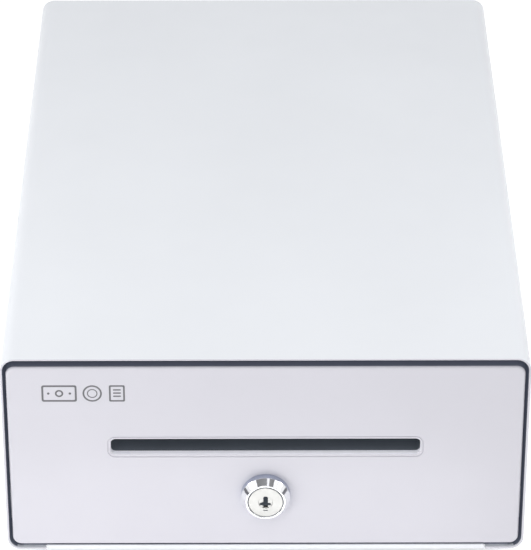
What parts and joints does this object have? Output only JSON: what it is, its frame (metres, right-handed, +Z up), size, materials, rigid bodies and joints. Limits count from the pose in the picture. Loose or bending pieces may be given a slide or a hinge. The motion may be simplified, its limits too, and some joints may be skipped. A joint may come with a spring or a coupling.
{
  "type": "cash drawer",
  "caption": "Narrow white steel cash drawer with a front media slot, a keyed lock, a roller-borne sliding till with bill clips and coin cups, and a solenoid latch.",
  "frame": {"origin": "centre of the whole box at the bottom of the rubber feet", "axes": "+Z up; the drawer front faces -Y and slides out along -Y; +X to the right seen from the front"},
  "size_m": [0.24, 0.3718, 0.1096],
  "materials": {
    "painted": "satin white powder coat",
    "zinc_steel": "zinc plated",
    "bright_steel": "bright",
    "spring_steel": "drawn",
    "chrome": "polished",
    "lock_silver": "satin nickel",
    "nylon": "moulded",
    "rubber": "matt",
    "black_plastic": "fine texture",
    "coil": "wound enamelled wire on a bobbin"
  },
  "bodies": {
    "case": {"case_cover": "painted", "base_plate": "painted", "rear_panel": "zinc_steel", "modular_socket": "black_plastic", "case_rail_left": "zinc_steel", "case_rail_right": "zinc_steel", "front_axle_left": "bright_steel", "front_axle_right": "bright_steel", "rubber_feet": "rubber", "foot_screws": "bright_steel", "rear_screws": "bright_steel", "lock_catch": "zinc_steel", "latch_bracket": "zinc_steel", "latch_pin": "bright_steel", "solenoid_frame": "zinc_steel", "solenoid_coil": "coil", "microswitch": "black_plastic", "latch_spring": "spring_steel", "ejector_rod": "bright_steel", "ejector_spring": "spring_steel"},
    "drawer": {"front_panel": "painted", "slot_liner": "black_plastic", "drawer_floor": "zinc_steel", "drawer_side_left": "zinc_steel", "drawer_side_right": "zinc_steel", "drawer_front_wall": "zinc_steel", "drawer_back_wall": "zinc_steel", "panel_mounts": "zinc_steel", "panel_screws": "bright_steel", "drawer_rail_left": "zinc_steel", "drawer_rail_right": "zinc_steel", "rear_axle_left": "bright_steel", "rear_axle_right": "bright_steel", "striker": "zinc_steel", "till_body": "black_plastic", "bill_divider_1": "black_plastic", "bill_divider_2": "black_plastic", "coin_cup_1": "black_plastic", "coin_cup_2": "black_plastic", "coin_cup_3": "black_plastic", "coin_cup_4": "black_plastic", "coin_cup_5": "black_plastic", "clip_rod": "bright_steel", "clip_springs": "spring_steel", "lock_collar": "chrome", "lock_nut": "bright_steel"},
    "lock": {"lock_plug": "lock_silver", "lock_cam": "bright_steel", "cam_screw": "bright_steel"},
    "latch": {"latch_lever": "zinc_steel"},
    "plunger": {"solenoid_plunger": "zinc_steel"},
    "blade": {"switch_blade": "spring_steel"},
    "front_roller_left": {"front_roller_left": "nylon"},
    "rear_roller_left": {"rear_roller_left": "nylon"},
    "front_roller_right": {"front_roller_right": "nylon"},
    "rear_roller_right": {"rear_roller_right": "nylon"},
    "clip_1": {"bill_clip_1": "black_plastic"},
    "clip_2": {"bill_clip_2": "black_plastic"},
    "clip_3": {"bill_clip_3": "black_plastic"}
  },
  "joints": [
    {"name": "drawer_slide", "type": "slide", "parent": "case", "child": "drawer", "axis": [0, -1, 0], "range_m": [0, 0.25]},
    {"name": "front_roller_spin_left", "type": "hinge", "parent": "case", "child": "front_roller_left", "pos_m": [-0.1129, -0.14913, 0.0407], "axis": [1, 0, 0], "continuous": true},
    {"name": "rear_roller_spin_left", "type": "hinge", "parent": "drawer", "child": "rear_roller_left", "pos_m": [-0.1129, 0.13287, 0.0405], "axis": [1, 0, 0], "continuous": true},
    {"name": "front_roller_spin_right", "type": "hinge", "parent": "case", "child": "front_roller_right", "pos_m": [0.1129, -0.14913, 0.0407], "axis": [1, 0, 0], "continuous": true},
    {"name": "rear_roller_spin_right", "type": "hinge", "parent": "drawer", "child": "rear_roller_right", "pos_m": [0.1129, 0.13287, 0.0405], "axis": [1, 0, 0], "continuous": true},
    {"name": "lock_turn", "type": "hinge", "parent": "drawer", "child": "lock", "pos_m": [0, -0.17913, 0.036], "axis": [0, 1, 0], "range_deg": [0, 90]},
    {"name": "latch_swing", "type": "hinge", "parent": "case", "child": "latch", "pos_m": [0, 0.16687, 0.025], "axis": [-1, 0, 0], "range_deg": [0, 20]},
    {"name": "plunger_slide", "type": "slide", "parent": "case", "child": "plunger", "axis": [0, 0, -1], "range_m": [0, 0.0034]},
    {"name": "blade_swing", "type": "hinge", "parent": "case", "child": "blade", "pos_m": [0, 0.16278, 0.017], "axis": [-1, 0, 0], "range_deg": [0, 11]},
    {"name": "clip_lift_1", "type": "hinge", "parent": "drawer", "child": "clip_1", "pos_m": [-0.06807, 0.12987, 0.058], "axis": [-1, 0, 0], "range_deg": [0, 40], "stiffness_Nm_per_rad": 0.03},
    {"name": "clip_lift_2", "type": "hinge", "parent": "drawer", "child": "clip_2", "pos_m": [0, 0.12987, 0.058], "axis": [-1, 0, 0], "range_deg": [0, 40], "stiffness_Nm_per_rad": 0.03},
    {"name": "clip_lift_3", "type": "hinge", "parent": "drawer", "child": "clip_3", "pos_m": [0.06807, 0.12987, 0.058], "axis": [-1, 0, 0], "range_deg": [0, 40], "stiffness_Nm_per_rad": 0.03}
  ],
  "couplings": [
    {"joint": "front_roller_spin_left", "follows": "drawer_slide", "rad_per_m": 125},
    {"joint": "rear_roller_spin_left", "follows": "drawer_slide", "rad_per_m": 125},
    {"joint": "front_roller_spin_right", "follows": "drawer_slide", "rad_per_m": 125},
    {"joint": "rear_roller_spin_right", "follows": "drawer_slide", "rad_per_m": 125},
    {"joint": "latch_swing", "follows": "plunger_slide", "rad_per_m": 100},
    {"joint": "blade_swing", "follows": "plunger_slide", "rad_per_m": 50}
  ]
}
